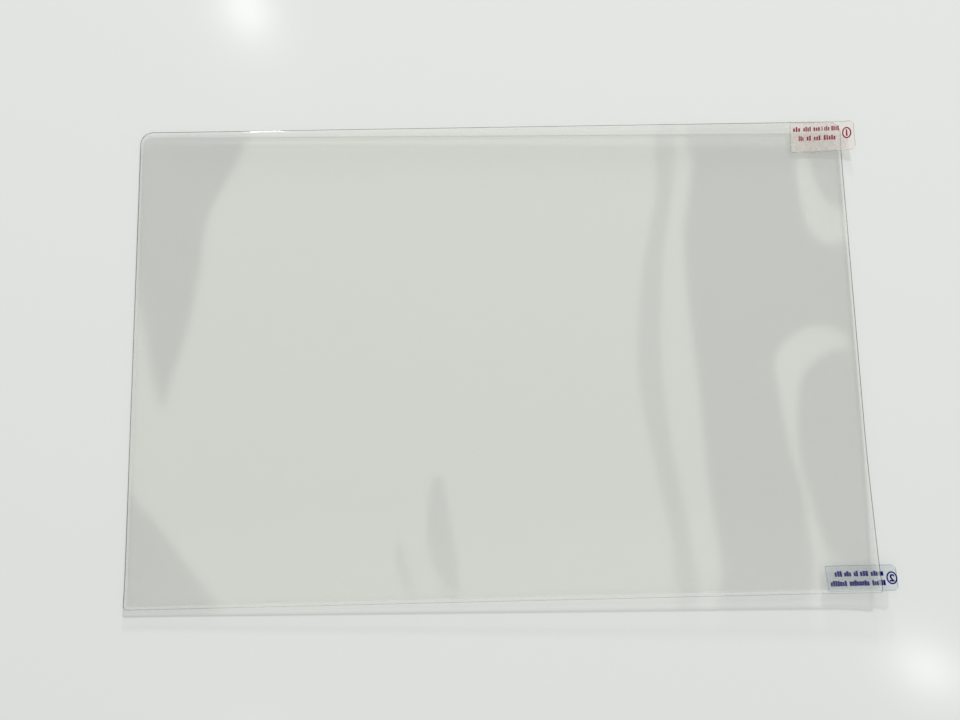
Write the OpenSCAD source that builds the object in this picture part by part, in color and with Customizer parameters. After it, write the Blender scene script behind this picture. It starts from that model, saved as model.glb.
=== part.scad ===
// Laptop screen protector as sold: a clear film between two peel-off liners, each liner with
// a numbered pull tab at its right end. The sheet lies on a table, flat in the middle, with its
// edges and one corner curled up. Lengths are in millimetres. X runs along the long side, Y towards
// the rounded corners and Z up. The origin is the middle of the flat underside.

/* [Sheet outline] */
// Length of the sheet
film_w = 302; // [240:1:340]
// Width of the sheet
film_h = 198; // [160:1:230]
// Radius of the two corners at the top of the screen
top_corner_r = 5.5; // [3:0.5:12]
// Radius of the two corners at the bottom of the screen
bottom_corner_r = 1.5; // [0.5:0.5:8]

/* [Plies] */
// Thickness of the protective liner on the face side, which lies on the table
lower_liner_t = 0.05; // [0.03:0.01:0.15]
// Thickness of the protective film with its adhesive
film_t = 0.2; // [0.1:0.01:0.5]
// Thickness of the release liner on the adhesive side
upper_liner_t = 0.075; // [0.03:0.005:0.15]

/* [Curl of the edges] */
// Height of the top edge at its left end
top_lift_left = 1; // [0:0.1:4]
// Height of the top edge at its right end
top_lift_right = 2.4; // [0:0.1:6]
// How far in from the top edge the curl starts
top_reach = 30; // [15:1:60]
// Height of the bottom edge at its left end
bottom_lift_left = 1.4; // [0:0.1:4]
// Height of the bottom edge at its right end
bottom_lift_right = 3.8; // [0:0.1:8]
// How far in from the bottom edge the curl starts
bottom_reach = 40; // [15:1:60]
// Height of the left edge
left_lift = 0.9; // [0:0.1:4]
// How far in from the left edge the curl starts
left_reach = 35; // [15:1:80]
// Height of the right edge above its lifted corner
right_lift = 1; // [0:0.1:4]
// How far in from the right edge the curl starts
right_reach = 40; // [15:1:80]
// Extra height of the bottom right corner
corner_lift = 2.2; // [0:0.1:8]
// How far up the right edge the lifted corner reaches
corner_reach = 65; // [30:1:90]

/* [Pull tabs] */
// Thickness of the tab labels
tab_t = 0.08; // [0.05:0.01:0.2]
// Radius of the tabs' outer corners
tab_corner_r = 1.9; // [0.5:0.1:4]
// Radius of the tabs' corners on the sheet
tab_inner_r = 0.6; // [0.2:0.1:2]
// Glue line between a tab and its liner
tab_glue = 0.1; // [0.06:0.01:0.3]
// Length of tab 1, on the release liner
tab_1_l = 27.6; // [18:0.1:40]
// Width of tab 1
tab_1_w = 12.7; // [8:0.1:20]
// How far tab 1 stands out past the sheet's right edge
tab_1_out = 5.6; // [3:0.1:12]
// Distance from the sheet's top edge to tab 1
tab_1_inset = 0.1; // [0:0.1:3]
// Turn of tab 1, as it was stuck on by hand
tab_1_turn = 1.5; // [-4:0.5:4]
// Length of tab 2, on the lower liner
tab_2_l = 27.6; // [18:0.1:40]
// Width of tab 2
tab_2_w = 10; // [8:0.1:20]
// How far tab 2 stands out past the sheet's right edge
tab_2_out = 6.2; // [3:0.1:12]
// Distance from the sheet's bottom edge to tab 2
tab_2_inset = 0.6; // [0:0.1:3]
// Turn of tab 2
tab_2_turn = 0.5; // [-4:0.5:4]

/* [Hidden] */

// Heights of the faces between the plies, above the sheet's underside
film_z = lower_liner_t;
upper_liner_z = film_z + film_t;
stack_t = upper_liner_z + upper_liner_t;

// The innermost ring of points, past every curl
field_inset = max(top_reach, bottom_reach, left_reach, right_reach);
ring_count = 7;
// Rings lie closer together towards the edge, where the curl is steepest
ring_ease = 1.6;
// Steps along each side, and round each corner
long_steps = 22;
short_steps = 16;
top_arc_steps = 5;
bottom_arc_steps = 3;
// How sharply the curls of two edges join at a corner
curl_join = 3;
// Steps along and across a tab
tab_l_steps = 14;
tab_w_steps = 6;
tab_arc_steps = 4;

function mix(a, b, f) = a + (b - a) * f;

function ease(s) = let(c = min(max(s, 0), 1)) c * c * (3 - 2 * c);

// Rise of a sheet at a distance from its edge, as a share of the rise at the edge
function curl(distance, reach) = pow(max(0, 1 - distance / reach), 2);

// Height of the sheet's underside above the table
function lift(x, y) =
    let(
        along = x / film_w + 0.5,
        from_bottom = y + film_h / 2,
        from_right = film_w / 2 - x,
        right_rise = right_lift + corner_lift * ease(1 - from_bottom / corner_reach),
        rises = [
            mix(top_lift_left, top_lift_right, along) * curl(film_h / 2 - y, top_reach),
            mix(bottom_lift_left, bottom_lift_right, along) * curl(from_bottom, bottom_reach),
            left_lift * curl(x + film_w / 2, left_reach),
            right_rise * curl(from_right, right_reach)
        ]
    )
    pow(rises * [for (r = rises) pow(r, curl_join - 1)], 1 / curl_join);

// Points of an arc from one angle to another, both ends included
function arc(centre, r, from, to, steps) =
    [for (i = [0:steps]) let(a = mix(from, to, i / steps)) centre + r * [cos(a), sin(a)]];

// Points between two ends, neither included, closer together towards both ends
function between(a, b, steps) = [for (i = [1:steps - 1]) mix(a, b, (1 - cos(180 * i / steps)) / 2)];

function join(lists) = [for (l = lists) each l];

// The sheet's outline, anticlockwise from the right end of the bottom edge
function outline() =
    let(
        x = film_w / 2,
        y = film_h / 2,
        arcs = [
            arc([x - bottom_corner_r, bottom_corner_r - y], bottom_corner_r, -90, 0, bottom_arc_steps),
            arc([x - top_corner_r, y - top_corner_r], top_corner_r, 0, 90, top_arc_steps),
            arc([top_corner_r - x, y - top_corner_r], top_corner_r, 90, 180, top_arc_steps),
            arc([bottom_corner_r - x, bottom_corner_r - y], bottom_corner_r, 180, 270, bottom_arc_steps)
        ],
        steps = [short_steps, long_steps, short_steps, long_steps]
    )
    join([for (i = [0:3])
        let(a = arcs[i], b = arcs[(i + 1) % 4]) concat(a, between(a[len(a) - 1], b[0], steps[i]))]);

// The outline drawn in towards the middle by a length on each side
function ring(inset) =
    let(sx = 1 - 2 * inset / film_w, sy = 1 - 2 * inset / film_h)
    [for (p = outline()) [p[0] * sx, p[1] * sy]];

// Two triangles of a four-sided patch, with corners in order
function patch(a, b, c, d) = [[a, b, c], [a, c, d]];

// One ply of the sheet, between two heights above its underside. The flat field inside the
// innermost ring is a fan of triangles about the middle.
module ply(low, high) {
    rings = [for (k = [0:ring_count]) ring(field_inset * pow(k / ring_count, ring_ease))];
    flat_points = concat(join(rings), [[0, 0]]);
    n = len(rings[0]);
    side = len(flat_points);
    // Seen from above, the faces go anticlockwise
    skin = join([for (k = [0:ring_count - 1], i = [0:n - 1])
        let(j = (i + 1) % n) patch(k * n + i, k * n + j, (k + 1) * n + j, (k + 1) * n + i)]);
    field = [for (i = [0:n - 1]) [ring_count * n + i, ring_count * n + (i + 1) % n, side - 1]];
    top_faces = concat(skin, field);
    polyhedron(
        points = [for (z = [low, high], p = flat_points) [p[0], p[1], lift(p[0], p[1]) + z]],
        faces = concat(
            [for (f = top_faces) [for (i = [len(f) - 1:-1:0]) f[i] + side]],
            top_faces,
            join([for (i = [0:n - 1]) let(j = (i + 1) % n) patch(j, i, i + side, j + side)])
        )
    );
}

// Half the tab's width at a distance from one end, with that end's corners rounded
function tab_half(w, r, distance) =
    distance >= r ? w / 2 : w / 2 - r + sqrt(max(0, r * r - pow(r - distance, 2)));

// Where the cuts across a tab fall: close together round the corners at both ends
function tab_stations(l) =
    concat(
        [for (i = [0:tab_arc_steps - 1]) tab_inner_r * (1 - cos(90 * i / tab_arc_steps))],
        [for (i = [0:tab_l_steps]) mix(tab_inner_r, l - tab_corner_r, i / tab_l_steps)],
        [for (i = [tab_arc_steps - 1:-1:0]) l - tab_corner_r * (1 - cos(90 * i / tab_arc_steps))]
    );

// A tab label that follows the sheet at a height above its underside. The centre of its
// long side lies at a place on the sheet's plane, and turn is about that place.
module tab(centre, l, w, turn, z) {
    stations = tab_stations(l);
    cols = len(stations);
    rows = tab_w_steps + 1;
    across = [for (s = stations)
        min(tab_half(w, tab_inner_r, s), tab_half(w, tab_corner_r, l - s))];
    flat_points = [for (i = [0:cols - 1], j = [0:rows - 1])
        let(x = stations[i] - l / 2, y = across[i] * (2 * j / tab_w_steps - 1))
        centre + [x * cos(turn) - y * sin(turn), x * sin(turn) + y * cos(turn)]];
    side = cols * rows;
    top_faces = join([for (i = [0:cols - 2], j = [0:rows - 2])
        let(a = i * rows + j) patch(a, a + rows, a + rows + 1, a + 1)]);
    rim = concat(
        [for (i = [0:cols - 1]) i * rows],
        [for (j = [1:rows - 1]) (cols - 1) * rows + j],
        [for (i = [cols - 2:-1:0]) i * rows + rows - 1],
        [for (j = [rows - 2:-1:1]) j]
    );
    n = len(rim);
    polyhedron(
        points = [for (dz = [z, z + tab_t], p = flat_points) [p[0], p[1], lift(p[0], p[1]) + dz]],
        faces = concat(
            [for (f = top_faces) [for (i = [2:-1:0]) f[i] + side]],
            top_faces,
            join([for (i = [0:n - 1])
                let(a = rim[i], b = rim[(i + 1) % n]) patch(b, a, a + side, b + side)])
        )
    );
}

module lower_liner() {
    color([0.80, 0.83, 0.82, 0.45]) ply(0, film_z);
}

module screen_film() {
    color([0.76, 0.79, 0.76, 0.5]) ply(film_z, upper_liner_z);
}

module upper_liner() {
    color([0.84, 0.86, 0.84, 0.45]) ply(upper_liner_z, stack_t);
}

// Red-printed tab on top of the release liner, at the top right corner
module pull_tab_1() {
    color([0.85, 0.35, 0.40, 0.8])
        tab(
            [film_w / 2 + tab_1_out - tab_1_l / 2, film_h / 2 - tab_1_inset - tab_1_w / 2],
            tab_1_l, tab_1_w, tab_1_turn, stack_t + tab_glue
        );
}

// Blue-printed tab under the lower liner, at the bottom right corner
module pull_tab_2() {
    color([0.30, 0.34, 0.68, 0.8])
        tab(
            [film_w / 2 + tab_2_out - tab_2_l / 2, tab_2_inset + tab_2_w / 2 - film_h / 2],
            tab_2_l, tab_2_w, tab_2_turn, -tab_glue - tab_t
        );
}

lower_liner();
screen_film();
upper_liner();
pull_tab_1();
pull_tab_2();
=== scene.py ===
"""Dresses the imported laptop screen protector: three clear plies that lie on a pale table with their
edges curled up, and two printed pull tabs. Lengths are in millimetres until a mesh is placed."""

import logging
import math
import random
from dataclasses import dataclass
from enum import Enum
from typing import Sequence

import bpy
import numpy as np
from mathutils import Euler, Matrix, Vector


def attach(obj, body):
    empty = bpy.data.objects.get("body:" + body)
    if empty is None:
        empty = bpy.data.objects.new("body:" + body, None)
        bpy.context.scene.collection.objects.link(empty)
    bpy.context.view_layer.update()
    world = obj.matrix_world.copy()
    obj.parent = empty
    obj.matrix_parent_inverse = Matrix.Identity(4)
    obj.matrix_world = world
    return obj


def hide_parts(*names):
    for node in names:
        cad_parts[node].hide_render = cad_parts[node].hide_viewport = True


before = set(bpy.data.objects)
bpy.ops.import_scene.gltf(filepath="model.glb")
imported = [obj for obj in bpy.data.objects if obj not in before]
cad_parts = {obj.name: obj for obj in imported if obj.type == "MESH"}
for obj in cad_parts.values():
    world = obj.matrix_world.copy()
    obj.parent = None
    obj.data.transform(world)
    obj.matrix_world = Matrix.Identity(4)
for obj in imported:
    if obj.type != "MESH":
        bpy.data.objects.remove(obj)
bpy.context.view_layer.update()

MM = 0.001
ROOT = "root"
SEED = 11
# The attribute that holds how much air lies behind a ply
AIR_GAP = "air_gap"
WHITE = (1.0, 1.0, 1.0, 1.0)
# Smooth shading stops at edges sharper than this, in degrees
SHARP_ANGLE = 40.0
# How fast a clear face's mirror share grows towards grazing angles
GRAZING_POWER = 5.0
# How many clear sides a ray may cross, enough for every ply and label on its way out and back
CLEAR_SIDES = 64

logging.basicConfig(level=logging.INFO, format="%(message)s")
log = logging.getLogger("screen_protector")


def linear(code: str) -> tuple[float, float, float, float]:
    """Turns an sRGB hex colour into linear light.

    Args:
        code: six hex digits, with or without a leading #.

    Returns:
        Red, green, blue and an alpha of 1.
    """
    digits = code.lstrip("#")
    parts = [int(digits[i:i + 2], 16) / 255 for i in (0, 2, 4)]
    r, g, b = (c / 12.92 if c <= 0.04045 else ((c + 0.055) / 1.055) ** 2.4 for c in parts)
    return (r, g, b, 1.0)


def add_node(
    tree: bpy.types.NodeTree, kind: str, links: dict[str | int, object] | None = None,
    **settings: object,
) -> bpy.types.Node:
    """Adds a node with its settings and its links.

    Args:
        tree: the node tree that gets the node.
        kind: Blender's name for the type of node.
        links: for each input, by name or number, the output socket that feeds it or its value.
        settings: properties of the node itself.

    Returns:
        The new node.
    """
    node = tree.nodes.new(kind)
    for name, value in settings.items():
        setattr(node, name, value)
    for name, value in (links or {}).items():
        if isinstance(value, bpy.types.NodeSocket):
            tree.links.new(value, node.inputs[name])
        else:
            node.inputs[name].default_value = value
    return node


def new_material(name: str) -> tuple[bpy.types.Material, bpy.types.NodeTree]:
    """Makes an empty node material.

    Args:
        name: what the real material is.

    Returns:
        The material and its node tree, with nothing in it.
    """
    material = bpy.data.materials.new(name)
    material.use_nodes = True
    material.node_tree.nodes.clear()
    return material, material.node_tree


def finish_material(tree: bpy.types.NodeTree, shader: bpy.types.NodeSocket) -> None:
    """Joins a shader to the material's output."""
    add_node(tree, "ShaderNodeOutputMaterial", {"Surface": shader})


def object_place(tree: bpy.types.NodeTree) -> bpy.types.NodeSocket:
    """The Object coordinates, in metres, that every pattern here reads."""
    return add_node(tree, "ShaderNodeTexCoord").outputs["Object"]


def mirror_share(tree: bpy.types.NodeTree, head_on: float) -> bpy.types.NodeSocket:
    """The share of light that one face of clear plastic mirrors, the same from both of its sides.

    Args:
        tree: the material's node tree.
        head_on: the share of a ray that meets the face head on.

    Returns:
        An output that rises from head_on to 1 at a grazing angle.
    """
    facing = add_node(tree, "ShaderNodeLayerWeight", {"Blend": 0.5}).outputs["Facing"]
    grazing = add_node(
        tree, "ShaderNodeMath", {0: facing, 1: GRAZING_POWER}, operation="POWER"
    ).outputs[0]
    return add_node(
        tree, "ShaderNodeMath", {0: grazing, 1: 1 - head_on, 2: head_on}, operation="MULTIPLY_ADD"
    ).outputs[0]


# Finishes


@dataclass(frozen=True)
class ClearFilm:
    """Polyester film with a bright cast surface: it mirrors the room weakly and lets the table
    show through with a faint green-grey cast."""

    name: str
    tint: str
    # Share of the light that it mirrors when seen from straight above
    head_on: float
    roughness: float = 0.03
    # The soft glow round a mirrored lamp, and its share of the mirrored light
    bloom: float = 0.2
    bloom_share: float = 0.1

    def build(self) -> bpy.types.Material:
        """Makes the film's material.

        Returns:
            A see-through material with a mirror share that grows towards grazing angles.
        """
        material, tree = new_material(self.name)
        clear = add_node(tree, "ShaderNodeBsdfTransparent", {"Color": linear(self.tint)})
        sharp, soft = (
            add_node(tree, "ShaderNodeBsdfAnisotropic", {"Color": WHITE, "Roughness": rough})
            for rough in (self.roughness, self.bloom)
        )
        mirror = add_node(
            tree, "ShaderNodeMixShader", {0: self.bloom_share, 1: sharp.outputs[0], 2: soft.outputs[0]}
        )
        both = add_node(
            tree, "ShaderNodeMixShader",
            {0: mirror_share(tree, self.head_on), 1: clear.outputs[0], 2: mirror.outputs[0]},
        )
        finish_material(tree, both.outputs[0])
        return material


@dataclass(frozen=True)
class BondedFilm:
    """The side of a film that clings to the next ply: with no air behind it, it mirrors nothing,
    and shows only the film's cast and a trace of haze."""

    name: str
    tint: str
    haze: float
    gap_share: float = 0.0
    haze_colour: str = "E6E9E3"
    haze_roughness: float = 0.5
    # How far clouds in the glue change the haze, how wide they are, and the part of the noise used
    cloud: float = 0.0
    cloud_mm: float = 1.5
    cloud_range: tuple[float, float] = (0.3, 0.7)
    gap_roughness: float = 0.04
    ior: float = 1.5

    def build(self) -> bpy.types.Material:
        """Makes the bonded side's material.

        Returns:
            A see-through material, with a little body where it has haze.
        """
        material, tree = new_material(self.name)
        clear = add_node(tree, "ShaderNodeBsdfTransparent", {"Color": linear(self.tint)})
        if not self.haze:
            finish_material(tree, clear.outputs[0])
            return material
        body = add_node(
            tree, "ShaderNodeBsdfPrincipled",
            {
                "Base Color": linear(self.haze_colour), "Roughness": self.haze_roughness,
                "IOR": self.ior,
            },
        )
        both = add_node(
            tree, "ShaderNodeMixShader",
            {0: self.haze_share(tree), 1: clear.outputs[0], 2: body.outputs[0]},
        )
        if not self.gap_share:
            finish_material(tree, both.outputs[0])
            return material
        # Air between the plies adds two more mirroring faces
        air = add_node(tree, "ShaderNodeAttribute", attribute_name=AIR_GAP).outputs["Fac"]
        share = add_node(
            tree, "ShaderNodeMath", {0: mirror_share(tree, self.gap_share), 1: air},
            operation="MULTIPLY",
        )
        mirror = add_node(
            tree, "ShaderNodeBsdfAnisotropic", {"Color": WHITE, "Roughness": self.gap_roughness}
        )
        with_air = add_node(
            tree, "ShaderNodeMixShader", {0: share.outputs[0], 1: both.outputs[0], 2: mirror.outputs[0]}
        )
        finish_material(tree, with_air.outputs[0])
        return material

    def haze_share(self, tree: bpy.types.NodeTree) -> float | bpy.types.NodeSocket:
        """How much of the side is haze, a little cloudy where the glue lies uneven.

        Args:
            tree: the material's node tree.

        Returns:
            The share itself, or the output of a cloudy pattern about it.
        """
        if not self.cloud:
            return self.haze
        noise = add_node(
            tree, "ShaderNodeTexNoise",
            {"Vector": object_place(tree), "Scale": 1 / (self.cloud_mm * MM), "Detail": 3.0},
        )
        return add_node(
            tree, "ShaderNodeMapRange",
            {
                "Value": noise.outputs["Fac"],
                "From Min": self.cloud_range[0], "From Max": self.cloud_range[1],
                "To Min": self.haze * (1 - self.cloud), "To Max": self.haze * (1 + self.cloud),
            },
        ).outputs["Result"]


@dataclass(frozen=True)
class CutEdge:
    """The knife-cut edge of a film, which traps light and looks darker than its faces, or a strip
    beside it that the die has pressed, or given a white frosting whose tone also paints the
    highlight that the curled rim catches."""

    name: str
    colour: str
    # Share of the light that doesn't pass straight through
    cover: float
    clear_tint: tuple[float, float, float, float] = (0.9, 0.92, 0.9, 1.0)
    roughness: float = 0.35
    ior: float = 1.57

    def build(self) -> bpy.types.Material:
        """Makes the edge's material.

        Returns:
            A part see-through, satin material.
        """
        material, tree = new_material(self.name)
        clear = add_node(tree, "ShaderNodeBsdfTransparent", {"Color": self.clear_tint})
        body = add_node(
            tree, "ShaderNodeBsdfPrincipled",
            {"Base Color": linear(self.colour), "Roughness": self.roughness, "IOR": self.ior},
        )
        both = add_node(
            tree, "ShaderNodeMixShader", {0: self.cover, 1: clear.outputs[0], 2: body.outputs[0]}
        )
        finish_material(tree, both.outputs[0])
        return material


@dataclass(frozen=True)
class ScreenInk:
    """Screen-printed ink on the label: satin and dense, a little paler where it lies thin."""

    name: str
    colour: str
    thin_colour: str
    ior: float = 1.5
    roughness: float = 0.4
    # Drawn coarser than a screen's mesh, so that it shows
    grain_mm: float = 0.35
    full_below: float = 0.35
    thin_above: float = 0.75

    def build(self) -> bpy.types.Material:
        """Makes the ink's material.

        Returns:
            A satin, opaque material whose depth of colour varies a little.
        """
        material, tree = new_material(self.name)
        noise = add_node(
            tree, "ShaderNodeTexNoise",
            {"Vector": object_place(tree), "Scale": 1 / (self.grain_mm * MM), "Detail": 2.0},
        )
        ramp = add_node(tree, "ShaderNodeValToRGB", {"Fac": noise.outputs["Fac"]})
        full, thin = ramp.color_ramp.elements
        full.position, full.color = self.full_below, linear(self.colour)
        thin.position, thin.color = self.thin_above, linear(self.thin_colour)
        ink = add_node(
            tree, "ShaderNodeBsdfPrincipled",
            {"Base Color": ramp.outputs["Color"], "Roughness": self.roughness, "IOR": self.ior},
        )
        finish_material(tree, ink.outputs[0])
        return material


@dataclass(frozen=True)
class TableLaminate:
    """Pale laminate of the table, pressed smooth: an even sheen with a soft image of the lamps."""

    name: str = "pale gloss laminate"
    colour: str = "EEF0ED"
    roughness: float = 0.7
    ior: float = 1.45
    specular: float = 0.2
    coat: float = 0.2
    coat_roughness: float = 0.16

    def build(self) -> bpy.types.Material:
        """Makes the table's material.

        Returns:
            A pale material with a soft gloss.
        """
        material, tree = new_material(self.name)
        body = add_node(
            tree, "ShaderNodeBsdfPrincipled",
            {
                "Base Color": linear(self.colour), "Roughness": self.roughness, "IOR": self.ior,
                "Specular IOR Level": self.specular, "Coat Weight": self.coat,
                "Coat Roughness": self.coat_roughness,
            },
        )
        finish_material(tree, body.outputs[0])
        return material


# Modelling by hand


def deselect() -> None:
    """Leaves edit mode and deselects every object."""
    if bpy.context.mode != "OBJECT":
        bpy.ops.object.mode_set(mode="OBJECT")
    bpy.ops.object.select_all(action="DESELECT")


def pick(obj: bpy.types.Object) -> None:
    """Makes one object the only selected and active one.

    Args:
        obj: the object.
    """
    deselect()
    obj.select_set(True)
    bpy.context.view_layer.objects.active = obj


def join(parts: Sequence[bpy.types.Object], name: str) -> bpy.types.Object:
    """Joins several meshes into one object.

    Args:
        parts: the objects, of which the first keeps the others.
        name: the joined object's name.

    Returns:
        The joined object.
    """
    pick(parts[0])
    for part in parts:
        part.select_set(True)
    if len(parts) > 1:
        bpy.ops.object.join()
    parts[0].name = parts[0].data.name = name
    return parts[0]


def spaced(count: int, length: float, lead: Sequence[float]) -> list[float]:
    """Places of grid lines along a side, close together near both ends.

    Args:
        count: how many cells there are along the side.
        length: length of the side.
        lead: distances from each end of the lines that lie close together.

    Returns:
        The places, from minus to plus half the length.
    """
    middle = count - 2 * len(lead)
    step = (length - 2 * lead[-1]) / middle
    first = [0.0, *lead]
    between = [lead[-1] + step * i for i in range(1, middle)]
    last = [length - d for d in reversed(first)]
    return [d - length / 2 for d in (*first, *between, *last)]


@dataclass
class RoundedSheet:
    """A flat sheet of square mesh with rounded corners, made from a grid. The faces of the strip
    between two distances from its edge take the fourth material."""

    length: float
    width: float
    radii: tuple[float, float, float, float]
    lead: tuple[float, ...]
    columns: int
    rows: int
    strip: tuple[float, float]

    def build(self, name: str) -> bpy.types.Object:
        """Adds the grid, spaces its lines and rounds its corners.

        Args:
            name: the new object's name.

        Returns:
            A flat sheet about the origin, with one face side up.
        """
        deselect()
        bpy.ops.mesh.primitive_grid_add(
            x_subdivisions=self.columns, y_subdivisions=self.rows, size=1.0, location=(0, 0, 0)
        )
        obj = bpy.context.active_object
        obj.name = obj.data.name = name
        xs = spaced(self.columns, self.length, self.lead)
        ys = spaced(self.rows, self.width, self.lead)
        for vertex in obj.data.vertices:
            i = round((vertex.co.x + 0.5) * self.columns)
            j = round((vertex.co.y + 0.5) * self.rows)
            vertex.co = (*self.rounded(xs[i], ys[j]), 0.0)
        for face in obj.data.polygons:
            x, y, _ = face.center
            inward = min(self.length / 2 - abs(x), self.width / 2 - abs(y))
            face.material_index = 3 if self.strip[0] < inward < self.strip[1] else 0
        return obj

    def rounded(self, x: float, y: float) -> tuple[float, float]:
        """Draws a point in a corner's square onto the quarter disc of that corner.

        Args:
            x: place along the sheet.
            y: place across the sheet.

        Returns:
            The place that the point moves to.
        """
        right, top = x > 0, y > 0
        radius = self.radii[(0 if right else 1) if top else (3 if right else 2)]
        u = (abs(x) - self.length / 2 + radius) / radius
        v = (abs(y) - self.width / 2 + radius) / radius
        if u <= 0 or v <= 0:
            return x, y
        across = self.length / 2 - radius + radius * u * math.sqrt(1 - v * v / 2)
        up = self.width / 2 - radius + radius * v * math.sqrt(1 - u * u / 2)
        return math.copysign(across, x), math.copysign(up, y)


def thicken(
    obj: bpy.types.Object, thickness: float, materials: Sequence[bpy.types.Material],
    strip: bpy.types.Material | None = None,
) -> None:
    """Gives a sheet its thickness, upwards, with its own material on each side and on the rim.

    Args:
        obj: a flat or draped sheet.
        thickness: how thick it becomes.
        materials: those of the underside, the upper side and the rim.
        strip: that of the strip along the upper side's edge, where it has its own.
    """
    under, upper, rim = materials
    for material in (under, upper, rim, under, strip or upper, rim):
        obj.data.materials.append(material)
    pick(obj)
    solidify = obj.modifiers.new("thickness", "SOLIDIFY")
    solidify.thickness = thickness
    solidify.offset = 1.0
    solidify.material_offset = 1
    solidify.material_offset_rim = 2
    bpy.ops.object.modifier_apply(modifier=solidify.name)


def finish_sheet(obj: bpy.types.Object) -> None:
    """Shades a sheet made in millimetres smooth and turns it into metres.

    Args:
        obj: the sheet, with its thickness.
    """
    pick(obj)
    bpy.ops.object.shade_smooth_by_angle(angle=math.radians(SHARP_ANGLE))
    to_metres(obj)


def to_metres(obj: bpy.types.Object) -> None:
    """Turns a mesh made in millimetres into metres."""
    obj.data.transform(Matrix.Scale(MM, 4))


# The sheet


@dataclass
class Curl:
    """How high the sheet's underside lies above the table. The sizes are those of the solid model."""

    film_w: float = 302.0
    film_h: float = 198.0
    top_lift_left: float = 1.0
    top_lift_right: float = 2.4
    top_reach: float = 30.0
    bottom_lift_left: float = 1.4
    bottom_lift_right: float = 3.8
    bottom_reach: float = 40.0
    left_lift: float = 0.9
    left_reach: float = 35.0
    right_lift: float = 1.0
    right_reach: float = 40.0
    corner_lift: float = 2.2
    corner_reach: float = 65.0
    bead_rise: float = 0.25
    bead_reach: float = 3.0

    @staticmethod
    def share(distance: float, reach: float) -> float:
        """Rise at a distance from an edge, as a share of the rise at the edge."""
        return max(0.0, 1 - distance / reach) ** 2

    def height(self, x: float, y: float) -> float:
        """Height of the underside at a place.

        Args:
            x: place along the sheet.
            y: place across the sheet.

        Returns:
            The height above the table.
        """
        along = x / self.film_w + 0.5
        from_bottom = y + self.film_h / 2
        near_corner = min(max(1 - from_bottom / self.corner_reach, 0.0), 1.0)
        corner = near_corner * near_corner * (3 - 2 * near_corner)
        top = self.top_lift_left + (self.top_lift_right - self.top_lift_left) * along
        bottom = self.bottom_lift_left + (self.bottom_lift_right - self.bottom_lift_left) * along
        rises = (
            top * self.share(self.film_h / 2 - y, self.top_reach),
            bottom * self.share(from_bottom, self.bottom_reach),
            self.left_lift * self.share(x + self.film_w / 2, self.left_reach),
            (self.right_lift + self.corner_lift * corner)
            * self.share(self.film_w / 2 - x, self.right_reach),
        )
        return sum(r ** 3 for r in rises) ** (1 / 3) + self.bead(x, y)

    def bead(self, x: float, y: float) -> float:
        """Height of the soft bead that the cutting die leaves just inside the edge."""
        inward = min(self.film_w / 2 - abs(x), self.film_h / 2 - abs(y)) / self.bead_reach
        return self.bead_rise * max(0.0, inward) * math.exp(1 - max(0.0, inward))


def smooth_outline(points: Sequence[tuple[float, float]], steps: int = 8) -> np.ndarray:
    """Draws a closed curve through points.

    Args:
        points: the points, in order round the curve.
        steps: how many places lie on each stretch.

    Returns:
        The places on the curve, one row each.
    """
    p = np.array(points, float)
    t = (np.arange(steps) / steps)[:, None]
    stretches = []
    for i in range(len(p)):
        a, b, c, d = (p[(i + k) % len(p)] for k in (-1, 0, 1, 2))
        stretches.append(
            0.5 * (2 * b + (c - a) * t + (2 * a - 5 * b + 4 * c - d) * t ** 2
                   + (3 * b - a - 3 * c + d) * t ** 3)
        )
    return np.vstack(stretches)


def depth_inside(places: np.ndarray, outline: np.ndarray) -> np.ndarray:
    """How deep places lie inside a closed outline.

    Args:
        places: one row for each place.
        outline: the outline's corners, in order.

    Returns:
        The distance to the outline, negative outside it.
    """
    nearest = np.full(len(places), np.inf)
    inside = np.zeros(len(places), bool)
    for a, b in zip(outline, np.roll(outline, -1, axis=0)):
        along = b - a
        t = np.clip((places - a) @ along / max(float(along @ along), 1e-9), 0, 1)
        nearest = np.minimum(nearest, np.hypot(*(places - a - t[:, None] * along).T))
        crosses = (a[1] > places[:, 1]) != (b[1] > places[:, 1])
        rise = b[1] - a[1]
        if rise:
            inside ^= crosses & (places[:, 0] < a[0] + along[0] * (places[:, 1] - a[1]) / rise)
    return np.where(inside, nearest, -nearest)


@dataclass(frozen=True)
class Patch:
    """A place on the film, with a soft edge, drawn by an outline in millimetres."""

    outline: tuple[tuple[float, float], ...]
    edge: float
    strength: float = 1.0

    def cover(self, places: np.ndarray) -> np.ndarray:
        """How far the patch covers places.

        Args:
            places: one row for each place on the sheet.

        Returns:
            Numbers from 0 outside the patch to its strength inside.
        """
        share = np.clip(depth_inside(places, smooth_outline(self.outline)) / self.edge + 0.5, 0, 1)
        return self.strength * share * share * (3 - 2 * share)


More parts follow.
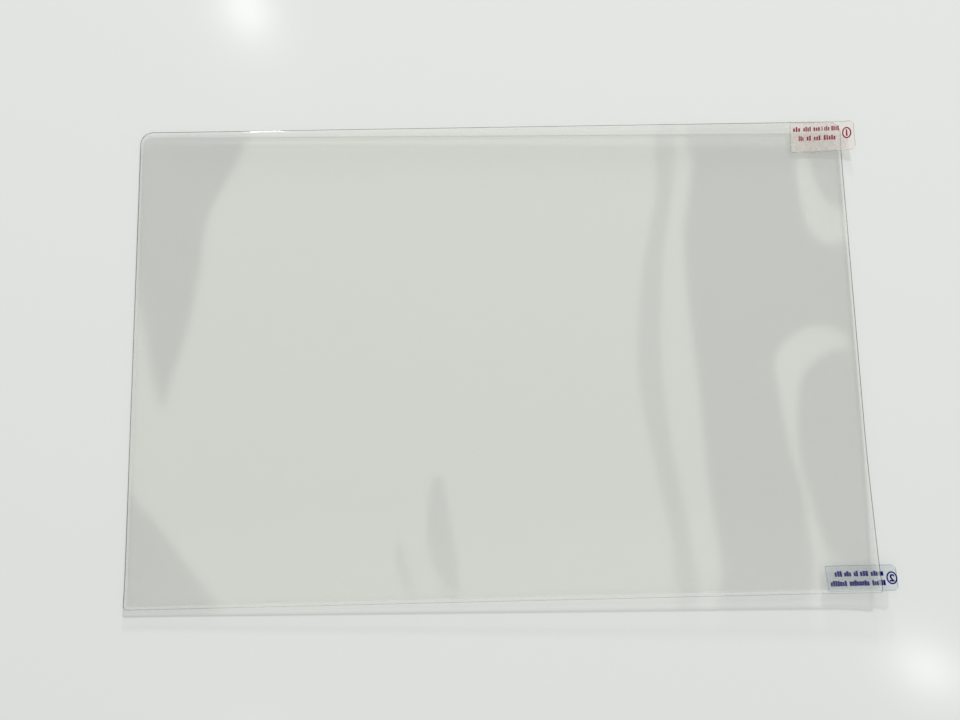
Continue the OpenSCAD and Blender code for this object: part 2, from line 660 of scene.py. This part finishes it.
# Where the release liner has let go of the film and left air under it
LOOSE = {
    "left end": Patch((
        (-156, 108), (-130, 106), (-104, 103), (-106.5, 95), (-111, 84.5), (-116.5, 74),
        (-120.5, 66), (-123.5, 55), (-124.5, 41.5), (-126.5, 28.5), (-128.5, 18), (-131.5, 5),
        (-135, -5.5), (-138, -17), (-141.5, -10.5), (-144, 0), (-146.5, 13), (-148.5, 23.5),
        (-152.5, 47.5), (-156, 74.5)), 6.0),
    "lower left corner": Patch((
        (-153, -48), (-147.5, -56), (-141, -63.5), (-133.5, -73.5), (-125.5, -83.5),
        (-119, -91.5), (-110, -104), (-132, -108), (-158, -106), (-156, -75.5)), 4.0, 0.9),
    "fold line": Patch((
        (71.5, 104), (70, 71.5), (66.5, 55), (62.5, 36), (59.5, 11.5), (58.5, -6.5), (60, -25),
        (63, -43), (66, -60.5), (69, -78), (70, -96), (74, -108), (79, -96.5), (76.5, -78.5),
        (74.5, -61), (71.5, -43), (69.5, -25), (68.5, -7), (69, 11.5), (70, 27.5), (72, 44),
        (75, 60), (77.5, 76.5), (80, 104)), 4.0, 0.6),
    "right end": Patch((
        (89, 108), (86.5, 82), (83.5, 65.5), (81, 52), (81, 32.5), (81.5, 16.5), (82.5, 0.5),
        (83.5, -15), (84.5, -35.5), (85.5, -56), (87.5, -73.5), (89, -88), (91, -108),
        (160, -110), (166, 0), (160, 110)), 5.0, 0.9),
    "bubble by the lower edge": Patch((
        (-26, -49), (-28.5, -52.5), (-30, -61), (-30.5, -71), (-29, -80.5), (-24.5, -90),
        (-20.5, -94), (-17.5, -93.5), (-18, -87), (-20, -73.5), (-22.5, -58.5), (-24, -51)),
        3.0, 0.6),
    "small bubble by the lower edge": Patch((
        (-42.5, -75), (-43.5, -79), (-42.5, -84), (-40.5, -89.5), (-37.5, -94.5),
        (-35.5, -93.5), (-37.5, -86.5), (-40, -78)), 3.0, 0.5),
}

# Where the liner still clings inside the loose right end, as rings: an outline and a hole in it
CLINGING = {
    "by the red tab": (
        Patch((
            (130, 104), (131, 84), (131.5, 73), (132.5, 62), (135, 52), (141, 46.5),
            (147.5, 46.5), (158, 50), (162, 104)), 4.0),
        Patch(((135, 104), (137.5, 84), (139, 75.5), (142, 68.5), (146.5, 64), (158, 65.5),
               (162, 104)), 4.0),
    ),
    "along the right edge": (
        Patch((
            (156, -1), (149.5, 3), (146, 7.5), (139.5, 10), (131.5, 10), (122.5, 5),
            (117.5, -0.5), (116, -8), (117, -18.5), (118.5, -31.5), (121, -46.5), (124, -59.5),
            (125, -74.5), (126, -85.5), (127, -104), (158, -106), (164, -37.5)), 4.5),
        Patch((
            (156, -2.5), (144, 0.5), (137, -2), (130.5, -7), (126.5, -13.5), (124.5, -23.5),
            (123.5, -36.5), (124.5, -49.5), (127.5, -64.5), (130, -74), (133, -83),
            (140, -86.5), (158, -86.5), (164, -37.5)), 5.0),
    ),
}


def mark_air(piece: bpy.types.Object) -> None:
    """Writes on a ply's corners how much air lies between it and the release liner.

    Args:
        piece: the ply, in metres.
    """
    places = np.array([v.co[:2] for v in piece.data.vertices]) / MM
    air = np.max([patch.cover(places) for patch in LOOSE.values()], axis=0)
    for outer, hole in CLINGING.values():
        air *= 1 - outer.cover(places) * (1 - hole.cover(places))
    layer = piece.data.attributes.new(AIR_GAP, "FLOAT", "POINT")
    layer.data.foreach_set("value", air.astype(np.float32))


@dataclass
class FilmStack:
    """The three plies: the liner on the table, the film with its adhesive, and the release liner."""

    curl: Curl
    corner_top: float = 5.5
    corner_bottom: float = 1.5
    lower_liner_t: float = 0.05
    film_t: float = 0.2
    upper_liner_t: float = 0.075
    glue_line: float = 0.004
    # How far in from the edge the frosting with its painted highlight runs
    strip: tuple[float, float] = (0.3, 1.3)
    lead: tuple[float, ...] = (0.3, 1.3, 2.1, 2.9, 3.7, 4.6, 5.5)
    columns: int = 152
    rows: int = 102

    def build(self) -> list[bpy.types.Object]:
        """Builds the plies and puts them in the place of the CAD ones.

        Returns:
            The three pieces, from the table up.
        """
        face = ClearFilm("clear polyester film, glossy", "FFFFFF", 0.05).build()
        resting = ClearFilm("clear polyester film, resting side", "FFFFFF", 0.02).build()
        bonded = BondedFilm("clear polyester film, bonded side", "FFFFFF", 0.0).build()
        tinted = BondedFilm("protective film, bonded side", "FCFCFA", 0.012, 0.28).build()
        edge = CutEdge("knife-cut edge of polyester film", "363B38", 1.0).build()
        # The pale strip inside the sheet's edge: a white frosting, whose tone also paints the highlight
        # that the curled rim catches
        frosted_highlight = CutEdge("film border with a frosting and a painted highlight", "FFFFFF", 0.3).build()
        z = self.lower_liner_t
        top = z + self.film_t
        plies = (
            ("lower_liner_sheet", "lower_liner", "liner_film", 0.0, z - self.glue_line,
             (resting, bonded, edge)),
            ("screen_film_sheet", "screen_film", "protective_film", z, top - self.glue_line,
             (bonded, tinted, edge)),
            ("upper_liner_sheet", "upper_liner", "release_film", top, top + self.upper_liner_t,
             (bonded, face, edge)),
        )
        made = []
        for name, node, slot, low, high, materials in plies:
            strip = frosted_highlight if node == "upper_liner" else None
            piece = self.ply(name, low, high, materials, strip)
            if tinted in materials:
                mark_air(piece)
            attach(piece, ROOT)
            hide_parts(node)
            made.append(piece)
        return made

    def ply(
        self, name: str, low: float, high: float, materials: Sequence[bpy.types.Material],
        strip: bpy.types.Material | None,
    ) -> bpy.types.Object:
        """Models one ply.

        Args:
            name: the new object's name.
            low: height of its underside above the sheet's underside.
            high: height of its upper side.
            materials: those of the underside, the upper side and the rim.
            strip: that of the strip along the upper side's edge, where it has its own.

        Returns:
            The ply, in metres.
        """
        sheet = RoundedSheet(
            self.curl.film_w, self.curl.film_h,
            (self.corner_top, self.corner_top, self.corner_bottom, self.corner_bottom),
            self.lead, self.columns, self.rows, self.strip,
        )
        obj = sheet.build(name)
        for vertex in obj.data.vertices:
            vertex.co.z = self.curl.height(vertex.co.x, vertex.co.y) + low
        thicken(obj, high - low, materials, strip)
        finish_sheet(obj)
        return obj


class Layer(Enum):
    """Which side of the sheet a pull tab is stuck to."""

    ON_TOP = "on the release liner"
    UNDERNEATH = "under the lower liner"


@dataclass
class PrintLine:
    """A line of print, as a row of plain blocks."""

    y: float
    height: float
    words: tuple[tuple[float, float], ...]


@dataclass
class PullTab:
    """A clear label with a numbered ring and two lines of plain blocks for print."""

    name: str
    node: str
    slot: str
    layer: Layer
    curl: Curl
    length: float
    width: float
    centre: tuple[float, float]
    turn: float
    numeral: str
    ring_centre: tuple[float, float]
    ring_size: tuple[float, float]
    lines: tuple[PrintLine, ...]
    film: ClearFilm
    back: BondedFilm
    ink: ScreenInk
    edge: CutEdge
    border: CutEdge
    # Share of a block's pitch that the block fills
    cover: float = 0.8
    tip_rise: float = 0.0
    thickness: float = 0.08
    glue: float = 0.1
    stack: float = 0.325
    outer_r: float = 1.9
    inner_r: float = 0.6
    strip: tuple[float, float] = (0.0, 0.3)
    lead: tuple[float, ...] = (0.3, 0.6, 1.0, 1.45, 1.9)
    columns: int = 46
    rows: int = 24
    ring_line: float = 0.55
    ring_corners: int = 56
    stroke: float = 0.15
    # Size of the numeral's type, as a share of the ring's height
    numeral_share: float = 0.75
    # Share of the tip's rise that its upper corner keeps
    upper_tip: float = 0.35
    block_pitch: float = 0.95
    block_corner: float = 0.12
    # Heights that blocks may have, as shares of the line's height
    block_heights: tuple[float, ...] = (0.72, 0.78, 1.0, 0.96)
    # How far a block's share of its pitch may stray from the cover
    block_stray: float = 0.08
    # Share of a low block's missing height that lies above it
    block_drop: float = 0.8
    ink_t: float = 0.012
    ink_gap: float = 0.002

    def low(self) -> float:
        """Finds how high the label lies.

        Returns:
            Height of its underside above the sheet's underside.
        """
        if self.layer is Layer.ON_TOP:
            return self.stack + self.glue
        return -self.glue - self.thickness

    def build(self, dice: random.Random) -> list[bpy.types.Object]:
        """Builds the label and its print.

        Args:
            dice: the random numbers for the blocks of print.

        Returns:
            The label and its print.
        """
        label = self.label()
        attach(label, ROOT)
        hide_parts(self.node)
        ink = self.printed(dice)
        # Fine letters blur into the label's own shadow on the table, which these blocks wouldn't
        ink.visible_shadow = self.layer is Layer.ON_TOP
        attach(ink, ROOT)
        return [label, ink]

    def label(self) -> bpy.types.Object:
        """Models the label film, draped over the sheet.

        Returns:
            The label, in metres.
        """
        sheet = RoundedSheet(
            self.length, self.width, (self.outer_r, self.inner_r, self.inner_r, self.outer_r),
            self.lead, self.columns, self.rows, self.strip,
        )
        obj = sheet.build(self.name + "_label")
        obj.data.transform(self.turned() @ Matrix.Translation((*self.centre, 0.0)))
        self.drape(obj, self.low())
        film, back, edge = self.film.build(), self.back.build(), self.edge.build()
        thicken(obj, self.thickness, (back, film, edge), self.border.build())
        finish_sheet(obj)
        return obj

    def turned(self) -> Matrix:
        """The turn of the label and its print about the label's middle."""
        middle = Matrix.Translation((*self.centre, 0.0))
        return middle @ Matrix.Rotation(math.radians(self.turn), 4, "Z") @ middle.inverted()

    def tip(self, x: float, y: float) -> float:
        """How far the free end has bent up at a place, most at its lower corner.

        Args:
            x: place along the sheet.
            y: place across the sheet.

        Returns:
            The rise above the curl.
        """
        edge = self.curl.film_w / 2
        out = max(0.0, x - edge) / (self.centre[0] + self.length / 2 - edge)
        down = (self.centre[1] + self.width / 2 - y) / self.width
        return self.tip_rise * out * out * (self.upper_tip + (1 - self.upper_tip) * down)

    def drape(self, obj: bpy.types.Object, base: float) -> None:
        """Lays a flat mesh on the sheet's curl.

        Args:
            obj: the mesh, in its place on the sheet's plane.
            base: height above the sheet's underside.
        """
        for vertex in obj.data.vertices:
            x, y = vertex.co.x, vertex.co.y
            vertex.co.z = self.curl.height(x, y) + self.tip(x, y) + base

    def printed(self, dice: random.Random) -> bpy.types.Object:
        """Models the print: the ring, its numeral and the blocks.

        Args:
            dice: the random numbers for the blocks.

        Returns:
            The print as one thin piece on the label.
        """
        parts = [self.ring(), self.figure()]
        for line in self.lines:
            for start, end in line.words:
                parts += self.blocks(line, start, end, dice)
        obj = join(parts, self.name + "_print")
        obj.data.transform(self.turned())
        self.drape(obj, self.low() + self.thickness + self.ink_gap)
        obj.data.materials.clear()
        obj.data.materials.append(self.ink.build())
        pick(obj)
        solidify = obj.modifiers.new("ink", "SOLIDIFY")
        solidify.thickness = self.ink_t
        solidify.offset = 1.0
        bpy.ops.object.modifier_apply(modifier=solidify.name)
        to_metres(obj)
        return obj

    def ring(self) -> bpy.types.Object:
        """Models the flat ring round the numeral.

        Returns:
            The ring, flat on the sheet's plane.
        """
        deselect()
        bpy.ops.mesh.primitive_circle_add(vertices=self.ring_corners, radius=0.5, fill_type="NGON")
        obj = bpy.context.active_object
        obj.scale = (self.ring_size[0], self.ring_size[1], 1.0)
        bpy.ops.object.transform_apply(location=False, rotation=False, scale=True)
        bpy.ops.object.mode_set(mode="EDIT")
        bpy.ops.mesh.select_all(action="SELECT")
        bpy.ops.mesh.inset(thickness=self.ring_line, depth=0.0)
        bpy.ops.mesh.delete(type="FACE")
        bpy.ops.object.mode_set(mode="OBJECT")
        obj.data.transform(Matrix.Translation((*self.ring_centre, 0.0)))
        return obj

    def figure(self) -> bpy.types.Object:
        """Models the numeral, which reads mirrored because the label is seen from its glued side.

        Returns:
            The numeral, flat in the middle of the ring.
        """
        deselect()
        bpy.ops.object.text_add(location=(0, 0, 0))
        text = bpy.context.active_object
        text.data.body = self.numeral
        text.data.align_x = "CENTER"
        text.data.align_y = "CENTER"
        text.data.size = self.ring_size[1] * self.numeral_share
        text.data.resolution_u = 4
        text.data.offset = self.stroke
        bpy.ops.object.convert(target="MESH")
        obj = bpy.context.active_object
        obj.data.transform(Matrix.Scale(-1.0, 4, (1, 0, 0)))
        corners = [v.co for v in obj.data.vertices]
        middle_x = (min(c.x for c in corners) + max(c.x for c in corners)) / 2
        middle_y = (min(c.y for c in corners) + max(c.y for c in corners)) / 2
        obj.data.transform(
            Matrix.Translation((self.ring_centre[0] - middle_x, self.ring_centre[1] - middle_y, 0.0))
        )
        bpy.ops.object.mode_set(mode="EDIT")
        bpy.ops.mesh.select_all(action="SELECT")
        bpy.ops.mesh.flip_normals()
        bpy.ops.object.mode_set(mode="OBJECT")
        return obj

    def blocks(
        self, line: PrintLine, start: float, end: float, dice: random.Random
    ) -> list[bpy.types.Object]:
        """Models one word's place as a run of small blocks.

        Args:
            line: the line that it stands in.
            start: where the run begins, along the sheet.
            end: where it ends.
            dice: the random numbers for the blocks' sizes.

        Returns:
            The blocks.
        """
        made = []
        count = max(1, round((end - start) / self.block_pitch))
        pitch = (end - start) / count
        for i in range(count):
            height = line.height * dice.choice(self.block_heights)
            wide = pitch * dice.uniform(self.cover - self.block_stray, self.cover + self.block_stray)
            deselect()
            bpy.ops.mesh.primitive_plane_add(size=1.0, location=(0, 0, 0))
            obj = bpy.context.active_object
            obj.scale = (wide, height, 1.0)
            bpy.ops.object.transform_apply(location=False, rotation=False, scale=True)
            bpy.ops.object.mode_set(mode="EDIT")
            bpy.ops.mesh.select_all(action="SELECT")
            bpy.ops.mesh.bevel(offset=self.block_corner, segments=2, affect="VERTICES")
            bpy.ops.object.mode_set(mode="OBJECT")
            drop = (line.height - height) / 2 * self.block_drop
            obj.data.transform(Matrix.Translation((start + pitch * (i + 0.5), line.y - drop, 0.0)))
            made.append(obj)
        return made


# The studio


@dataclass
class Studio:
    """The pale table top, the soft lights and the camera of the photograph."""

    # A little under the sheet, so that the two don't flicker through each other
    table_z: float = -0.06
    table_size: float = 9000.0
    camera_place: tuple[float, float, float] = (-12.833, -38.072, 298.739)
    camera_turn: tuple[float, float, float] = (6.93, -0.843, -1.232)
    lens: float = 27.04
    sensor_width: float = 36.0
    clip_start: float = 0.01
    # Strength of the room's light on the object, and of the backdrop that shows behind it
    room_light: float = 0.5
    room_colour: str = "F4F6F4"
    background: float = 0.6
    background_colour: str = "F1F2F0"
    # For each window: its direction, distance and size in metres, and power
    windows: tuple[tuple[tuple[float, float, float], float, float, float], ...] = (
        ((0.5, 1.68, 1.0), 3.4, 0.2, 54.0), ((0.3, 4.3, 1.0), 3.8, 0.22, 44.0),
    )
    # Where the ceiling lamps hang, and their power
    ceiling_lamps: tuple[tuple[float, float, float, float], ...] = (
        (-518.0, 999.0, 1300.0, 1.5), (957.0, -527.0, 1300.0, 1.3), (-501.0, -724.0, 1300.0, 1.2),
    )
    ceiling_lamp_size: float = 0.08

    def build(self) -> None:
        """Makes the table, the lights and the camera."""
        self.table()
        self.world()
        self.lamps()
        self.camera()

    def table(self) -> None:
        """Adds the table top, which is attached to no body of the object."""
        deselect()
        bpy.ops.mesh.primitive_plane_add(size=self.table_size * MM, location=(0, 0, self.table_z * MM))
        floor = bpy.context.active_object
        floor.name = "table_top"
        floor.data.materials.append(TableLaminate().build())

    def world(self) -> None:
        """Makes the even light of the room."""
        world = bpy.data.worlds.new("room")
        world.use_nodes = True
        tree = world.node_tree
        tree.nodes.clear()
        room = add_node(
            tree, "ShaderNodeBackground",
            {"Color": linear(self.room_colour), "Strength": self.room_light},
        )
        seen = add_node(
            tree, "ShaderNodeBackground",
            {"Color": linear(self.background_colour), "Strength": self.background},
        )
        path = add_node(tree, "ShaderNodeLightPath")
        share = path.outputs["Is Camera Ray"]
        for ray in ("Is Glossy Ray", "Is Transmission Ray"):
            share = add_node(
                tree, "ShaderNodeMath", {0: share, 1: path.outputs[ray]}, operation="MAXIMUM"
            ).outputs[0]
        both = add_node(
            tree, "ShaderNodeMixShader", {0: share, 1: room.outputs[0], 2: seen.outputs[0]}
        )
        add_node(tree, "ShaderNodeOutputWorld", {"Surface": both.outputs[0]})
        bpy.context.scene.world = world

    def lamp(
        self, name: str, towards: Sequence[float], distance: float, size: float, watts: float
    ) -> bpy.types.Object:
        """Adds a soft white lamp that faces the middle of the sheet.

        Args:
            name: the lamp's name.
            towards: the direction from the sheet to the lamp.
            distance: how far away it is, in metres.
            size: how wide it is, in metres.
            watts: its power.

        Returns:
            The lamp.
        """
        data = bpy.data.lights.new(name, "AREA")
        data.shape = "SQUARE"
        data.size = size
        data.energy = watts
        lamp = bpy.data.objects.new(name, data)
        bpy.context.scene.collection.objects.link(lamp)
        way = Vector(towards).normalized()
        lamp.location = way * distance
        lamp.rotation_euler = way.to_track_quat("Z", "Y").to_euler()
        return lamp

    def lamps(self) -> None:
        """Adds the window light from the far side, the weaker, lower one beyond it, and the small
        ceiling lamps that glint in the film."""
        for i, (towards, distance, size, watts) in enumerate(self.windows):
            lamp = self.lamp(f"window_{i}", towards, distance, size, watts)
            # Its image in the gloss would burn out when the sheet is seen from the other side
            lamp.visible_glossy = False
        for i, (x, y, z, watts) in enumerate(self.ceiling_lamps):
            place = Vector((x, y, z)) * MM
            lamp = self.lamp(f"ceiling_{i}", place, place.length, self.ceiling_lamp_size, watts)
            lamp.data.shape = "DISK"

    def camera(self) -> None:
        """Puts the camera where the photograph was taken from."""
        data = bpy.data.cameras.new("camera")
        data.lens = self.lens
        data.sensor_width = self.sensor_width
        data.sensor_fit = "HORIZONTAL"
        data.clip_start = self.clip_start
        camera = bpy.data.objects.new("camera", data)
        bpy.context.scene.collection.objects.link(camera)
        camera.location = Vector(self.camera_place) * MM
        camera.rotation_euler = Euler([math.radians(a) for a in self.camera_turn])
        bpy.context.scene.camera = camera


def tab_one(curl: Curl) -> PullTab:
    """Describes the red tab at the top right corner.

    Args:
        curl: the sheet that it follows.

    Returns:
        The tab, not yet built.
    """
    right, top = curl.film_w / 2, curl.film_h / 2
    length, width, out, inset = 27.6, 12.7, 5.6, 0.1
    line_height = 2.1
    words = ((0.7, 4.2), (4.9, 7.3), (7.9, 8.4), (9.0, 12.0), (12.9, 16.4), (17.6, 20.9))
    more = ((2.4, 7.6), (8.8, 12.0), (13.0, 15.1), (16.2, 18.6))
    return PullTab(
        name="pull_tab_1", node="pull_tab_1", slot="red_tab_label", layer=Layer.ON_TOP, curl=curl,
        length=length, width=width, turn=1.5,
        centre=(right + out - length / 2, top - inset - width / 2),
        numeral="1", ring_centre=(right + 2.5, top - 5.2), ring_size=(3.8, 4.9),
        lines=(
            PrintLine(top - 3.0, line_height, tuple((right - b, right - a) for a, b in words)),
            PrintLine(top - 6.9, line_height, tuple((right - b, right - a) for a, b in more)),
        ),
        film=ClearFilm("clear label film", "FDFCFC", 0.035),
        back=BondedFilm(
            "clear label film, glued side", "FFFFFF", 0.36, haze_colour="FFF1EC", cloud=0.3
        ),
        ink=ScreenInk("red screen ink", "8C0C26", "A41E36"),
        edge=CutEdge("cut edge of label film", "6B7571", 0.9),
        border=CutEdge("pressed border of label film", "8A938F", 0.45),
        cover=0.66, tip_rise=1.2,
    )


def tab_two(curl: Curl) -> PullTab:
    """Describes the blue tab at the bottom right corner.

    Args:
        curl: the sheet that it follows.

    Returns:
        The tab, not yet built.
    """
    right, bottom = curl.film_w / 2, -curl.film_h / 2
    length, width, out, inset = 27.6, 10.0, 6.2, 0.6
    line_height = 2.15
    words = ((-1.2, 3.8), (4.7, 7.9), (8.6, 10.4), (11.3, 14.2), (15.0, 18.0))
    more = ((-1.6, 3.7), (4.7, 12.6), (13.6, 20.2))
    return PullTab(
        name="pull_tab_2", node="pull_tab_2", slot="blue_tab_label", layer=Layer.UNDERNEATH,
        curl=curl, length=length, width=width, turn=0.5,
        centre=(right + out - length / 2, bottom + inset + width / 2),
        numeral="2", ring_centre=(right + 4.2, bottom + 5.5), ring_size=(4.1, 5.0),
        lines=(
            PrintLine(bottom + 7.35, line_height, tuple((right - b, right - a) for a, b in words)),
            PrintLine(bottom + 3.75, line_height, tuple((right - b, right - a) for a, b in more)),
        ),
        film=ClearFilm("clear label film, blue cast", "FAFBFD", 0.035),
        back=BondedFilm(
            "clear label film, blue cast, glued side", "F1F3F5", 0.17, haze_colour="D8DBE0",
            cloud=0.3,
        ),
        ink=ScreenInk("blue screen ink, under the glue", "04085C", "0C147A", ior=1.1),
        edge=CutEdge("cut edge of label film, blue cast", "6B7180", 0.9),
        border=CutEdge("pressed border of label film, blue cast", "8F96A0", 0.45),
        cover=0.9,
    )


def main() -> None:
    """Builds the pieces in order and the studio round them, and reports each piece."""
    dice = random.Random(SEED)
    curl = Curl()
    pieces = FilmStack(curl).build()
    for tab in (tab_one(curl), tab_two(curl)):
        pieces += tab.build(dice)
    for piece in pieces:
        log.info("%s: %d faces", piece.name, len(piece.data.polygons))
    Studio().build()
    scene = bpy.context.scene
    scene.view_settings.view_transform = "Standard"
    scene.cycles.transparent_max_bounces = CLEAR_SIDES


if __name__ == "__main__":
    main()
